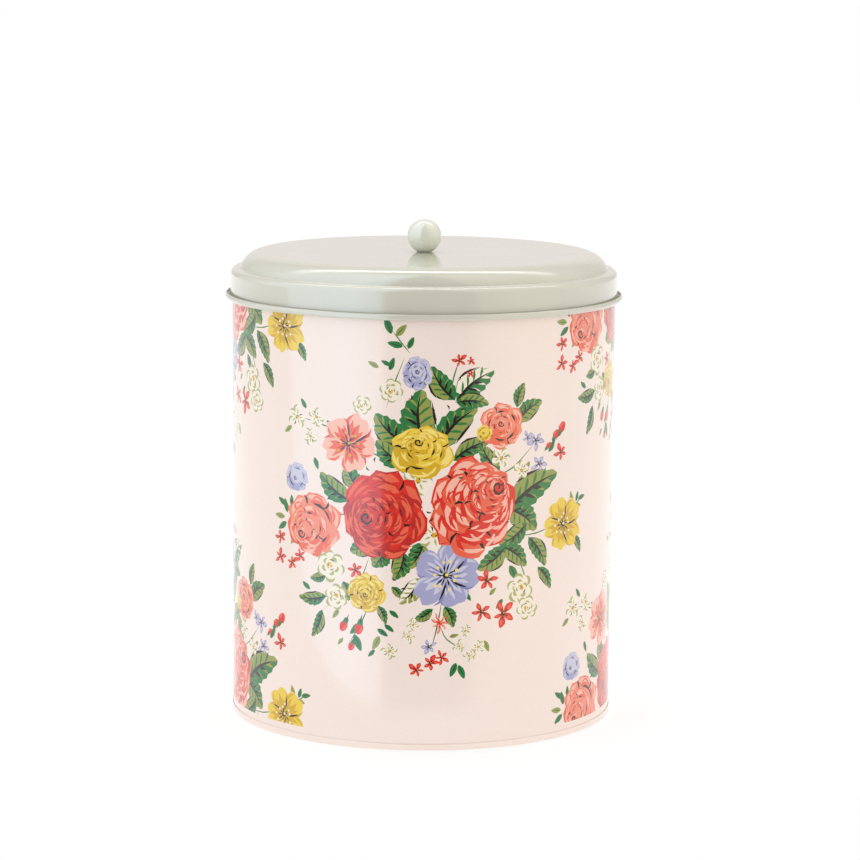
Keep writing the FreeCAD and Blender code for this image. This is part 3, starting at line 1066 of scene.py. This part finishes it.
def bare_tinplate(tree):
    """Rolled tinplate: soft grain along the rolling direction under a bright, slightly uneven gloss."""
    grain = noise(tree, 900, 2, 0.03)
    cloud = spread(tree, noise(tree, 45, 3), 0, 1)
    return {
        "Base Color": mixed(tree, cloud, rgb(212, 213, 212), rgb(224, 225, 223)),
        "Roughness": spread(tree, grain, 0.3, 0.38),
        "Normal": bumps(tree, grain, 0.0012),
        "Metallic": 1.0,
    }


def zinc_steel(tree):
    """Zinc-plated steel with the faint yellow and blue cast of passivation."""
    cast = spread(tree, noise(tree, 350, 2), 0, 1)
    return {
        "Base Color": mixed(tree, cast, rgb(176, 178, 184), rgb(198, 192, 176)),
        "Roughness": spread(tree, noise(tree, 1500, 2), 0.26, 0.42),
        "Normal": bumps(tree, noise(tree, 2600, 1), 0.003),
        "Metallic": 1.0,
    }


def printed_varnish(tree):
    """The print's inks under varnish: each colour breaks up a little, as ink does on tinplate."""
    inks = add(tree, "VertexColor", {}, layer_name="print").outputs["Color"]
    fine = spread(tree, noise(tree, 1300, 3), 0.965, 1.0)
    broad = spread(tree, noise(tree, 30, 2), 0.985, 1.0)
    return {
        "Base Color": mixed(tree, 1.0, mixed(tree, 1.0, inks, fine, "MULTIPLY"), broad, "MULTIPLY"),
        "Roughness": spread(tree, noise(tree, 50, 2), 0.18, 0.23),
        "Normal": bumps(tree, noise(tree, 300, 1), 0.0012),
        "Coat Weight": 0.65,
        "Coat Roughness": 0.08,
        "IOR": 1.5,
    }


def floor_white(tree):
    """Pale matt paper that glows a little, as under a bright sweep."""
    cloud = spread(tree, noise(tree, 3, 2), 0, 1)
    return {
        "Base Color": mixed(tree, cloud, rgb(172, 172, 172), rgb(168, 168, 168)),
        "Roughness": 0.9,
        "Emission Color": (1, 1, 1, 1),
        "Emission Strength": FLOOR_GLOW,
    }


# ---------------------------------------------------------------- pieces

def make_base(enamel, tinplate):
    panel = PANEL_HEIGHT - HALF
    ledge = panel - PANEL_STEP
    inner = HEM_INSIDE - SEAM_GAP - HALF
    outer = RING_RADIUS - HALF
    low = BASE_LOW + HALF + RING_BEND
    lean = math.degrees(math.acos(1 - 1.2 * SEAM_GAP / RING_LEAN_RADIUS))
    rise = RING_LEAN_RADIUS * math.sin(math.radians(lean))
    path = [
        end(0, panel, 90),
        bend(PANEL_STEP_RADIUS, panel - PANEL_BEND, PANEL_BEND, 90, 0),
        bend(PANEL_STEP_RADIUS + 2 * PANEL_BEND, ledge + PANEL_BEND, PANEL_BEND, 180, 270),
        bend(inner - PANEL_SHOULDER, ledge - PANEL_SHOULDER, PANEL_SHOULDER, 90, 0),
        bend(inner + RING_BEND, low, RING_BEND, 180, 270),
        bend(outer - RING_BEND, low, RING_BEND, 270, 360),
        bend(outer - RING_LEAN_RADIUS, RING_HEIGHT - rise, RING_LEAN_RADIUS, 360, 360 + lean),
    ]
    return turned_piece("base_tin", sheet_outline(path, 1, 0), (enamel, tinplate))


def make_lid(enamel):
    landing = KNOB_LOW - HALF
    dome_radius = DOME_EDGE_RADIUS - HALF
    dome_middle = DOME_HEIGHT - DOME_EDGE_RADIUS
    ledge = DOME_HEIGHT - LEDGE_DROP
    # the sloping run touches the bend round the landing and the arc of the dome's edge
    run = DOME_EDGE_CENTRE - LANDING_RADIUS
    rise = landing + LANDING_BEND - dome_middle
    both = LANDING_BEND + dome_radius
    slope = math.degrees(math.asin(both / math.hypot(run, rise)) - math.atan2(rise, run))
    # the crease is an arc that touches the dome's edge and the ledge
    reach = DOME_EDGE_RADIUS + CREASE_RADIUS
    lean = math.degrees(math.asin((ledge + CREASE_RADIUS - dome_middle) / reach))
    crease_across = DOME_EDGE_CENTRE + reach * math.cos(math.radians(lean))
    corner = SKIRT_CORNER - HALF
    bead_across = BEAD_REACH - HALF - BEAD_CURL
    bead_up = BEAD_LOW + HALF + BEAD_CURL
    path = [
        end(LID_HOLE, landing, 90),
        bend(LANDING_RADIUS, landing + LANDING_BEND, LANDING_BEND, 270, 270 + slope),
        bend(DOME_EDGE_CENTRE, dome_middle, dome_radius, 90 + slope, lean),
        bend(crease_across, ledge + CREASE_RADIUS, CREASE_RADIUS + HALF, 180 + lean, 270),
        bend(SKIRT_RADIUS - HALF - corner, ledge - HALF - corner, corner, 90, 0),
        bend(bead_across, bead_up, BEAD_CURL, 180, BEAD_CURL_END),
    ]
    return turned_piece("lid_enamelled", sheet_outline(path, 0, 0), (enamel,))


def make_knob(pearl, steel):
    """Ball with a flat foot and a tapped hole in it."""
    drop = math.sqrt(KNOB_RADIUS**2 - KNOB_FOOT**2)
    middle = KNOB_LOW + drop
    foot_angle = -math.degrees(math.asin(drop / KNOB_RADIUS))
    ball = []
    for angle in np.linspace(90, foot_angle, 40):
        ball.append((np.array([0, middle]) + KNOB_RADIUS * towards(angle), towards(angle)))
    ball[0] = (np.array([0.0, KNOB_TOP]), np.array([0.0, 1.0]))
    down = np.array([0.0, -1.0])
    inward = np.array([-1.0, 0.0])
    hole_top = KNOB_LOW + KNOB_HOLE_DEPTH
    foot = [(ball[-1][0], down), (np.array([KNOB_HOLE, KNOB_LOW]), down)]
    bore = [(foot[-1][0], inward), (np.array([KNOB_HOLE, hole_top]), inward)]
    cap = [(bore[-1][0], down), (np.array([0.0, hole_top]), down)]
    return turned_piece("knob_ball", [(ball, 0), (foot, 0), (bore, 1), (cap, 1)], (pearl, steel), KNOB_STEPS)


# ---------------------------------------------------------------- stage

def make_floor():
    """A pale table that ends a little way in front of the tin."""
    mesh = bpy.data.meshes.new("floor")
    near, far, side = FLOOR_FRONT, FLOOR_SIDE, FLOOR_SIDE
    mesh.from_pydata([(-side, near, 0), (side, near, 0), (side, far, 0), (-side, far, 0)], [], [(0, 1, 2, 3)])
    floor = bpy.data.objects.new("floor", mesh)
    bpy.context.scene.collection.objects.link(floor)
    mesh.materials.append(new_material("floor_white", floor_white))
    floor.location.z = cad_low.z - FLOOR_DROP


def light_round(tree, stops, peak):
    """A backdrop whose colour changes round the upright axis."""
    place = add(tree, "TexCoord", {}).outputs["Generated"]
    parts = add(tree, "SeparateXYZ", {"Vector": place})
    front = add(tree, "Math", {0: parts.outputs["Y"], 1: -1}, operation="MULTIPLY")
    turn = add(tree, "Math", {0: parts.outputs["X"], 1: front.outputs[0]}, operation="ARCTAN2")
    share = add(tree, "MapRange", {"Value": turn.outputs[0], "From Min": -math.pi, "From Max": math.pi})
    ramp = add(tree, "ValToRGB", {"Fac": share.outputs["Result"]})
    elements = ramp.color_ramp.elements
    elements.remove(elements[-1])
    for k, (degrees, colour) in enumerate(stops):
        stop = elements[0] if k == 0 else elements.new((degrees + 180) / 360)
        stop.position = (degrees + 180) / 360
        stop.color = (*(level / peak for level in colour), 1)
    return add(tree, "Background", {"Color": ramp.outputs["Color"], "Strength": peak}).outputs[0]


def make_world():
    """A white studio: soft light from all round, and bright walls with a darker gap that the gloss shows."""
    world = bpy.data.worlds.new("studio")
    bpy.context.scene.world = world
    world.use_nodes = True
    world.cycles.sampling_method = "NONE"
    tree = world.node_tree
    tree.nodes.clear()
    seen = add(tree, "LightPath", {})
    plain = add(tree, "Background", {"Color": (1, 1, 1, 1)}).outputs[0]
    soft = light_round(tree, SOFT_LIGHT, 1.0)
    walls = light_round(tree, WALLS, WALLS_PEAK)
    lit = add(tree, "MixShader", {0: seen.outputs["Is Glossy Ray"], 1: soft, 2: walls}).outputs[0]
    shown = add(tree, "MixShader", {0: seen.outputs["Is Camera Ray"], 1: lit, 2: plain}).outputs[0]
    add(tree, "OutputWorld", {"Surface": shown})


def make_softbox():
    """A long light over and behind the tin, which draws the lines of light along the lid."""
    light = bpy.data.lights.new("top", "AREA")
    light.shape = "RECTANGLE"
    light.size = SOFTBOX_WIDTH
    light.size_y = SOFTBOX_DEPTH
    light.energy = SOFTBOX_POWER
    light.spread = math.radians(SOFTBOX_SPREAD)
    lamp = bpy.data.objects.new("top", light)
    lamp.location = SOFTBOX_PLACE
    aim = Vector(SOFTBOX_AIM) - Vector(SOFTBOX_PLACE)
    lamp.rotation_euler = aim.to_track_quat("-Z", "Y").to_euler()
    bpy.context.scene.collection.objects.link(lamp)


def make_camera():
    """Stands in front of the tin, a little right of its axis, looking down about ten degrees."""
    data = bpy.data.cameras.new("camera")
    data.sensor_width = CAMERA_SENSOR
    data.lens = CAMERA_LENS
    data.shift_x, data.shift_y = CAMERA_SHIFT
    data.clip_start = 0.1
    data.clip_end = 30
    camera = bpy.data.objects.new("camera", data)
    camera.location = CAMERA_PLACE
    tilt = Matrix.Rotation(math.radians(90 - CAMERA_DOWN), 3, "X")
    camera.rotation_euler = (tilt @ Matrix.Rotation(math.radians(CAMERA_ROLL), 3, "Z")).to_euler()
    bpy.context.scene.collection.objects.link(camera)
    bpy.context.scene.camera = camera


# ---------------------------------------------------------------- build

sage = gloss_enamel("sage_enamel", (209, 208, 193), (203, 202, 186), coat=1.0, peel=0.0007)
pink = gloss_enamel("pink_enamel", INKS["ground"], PINK_SHADE)
pearl = gloss_enamel("pearl_enamel", (232, 233, 219), (223, 226, 209), (0.1, 0.16), 0.9)
tinplate = new_material("bare_tinplate", bare_tinplate)
zinc = new_material("zinc_steel", zinc_steel)
varnish = new_material("printed_varnish", printed_varnish)

finish_piece(make_base(pink, tinplate), "base", "tin")
finish_piece(make_lid(sage), "lid_shell", "lid")
finish_piece(make_knob(pearl, zinc), "knob", "lid")
finish_piece(make_wall(varnish, tinplate), "wall", "tin")
for name in ("knob_washer", "knob_screw"):
    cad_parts[name].data.materials.clear()
    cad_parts[name].data.materials.append(zinc)

make_floor()
make_world()
make_softbox()
make_camera()
bpy.context.scene.view_settings.view_transform = "Standard"
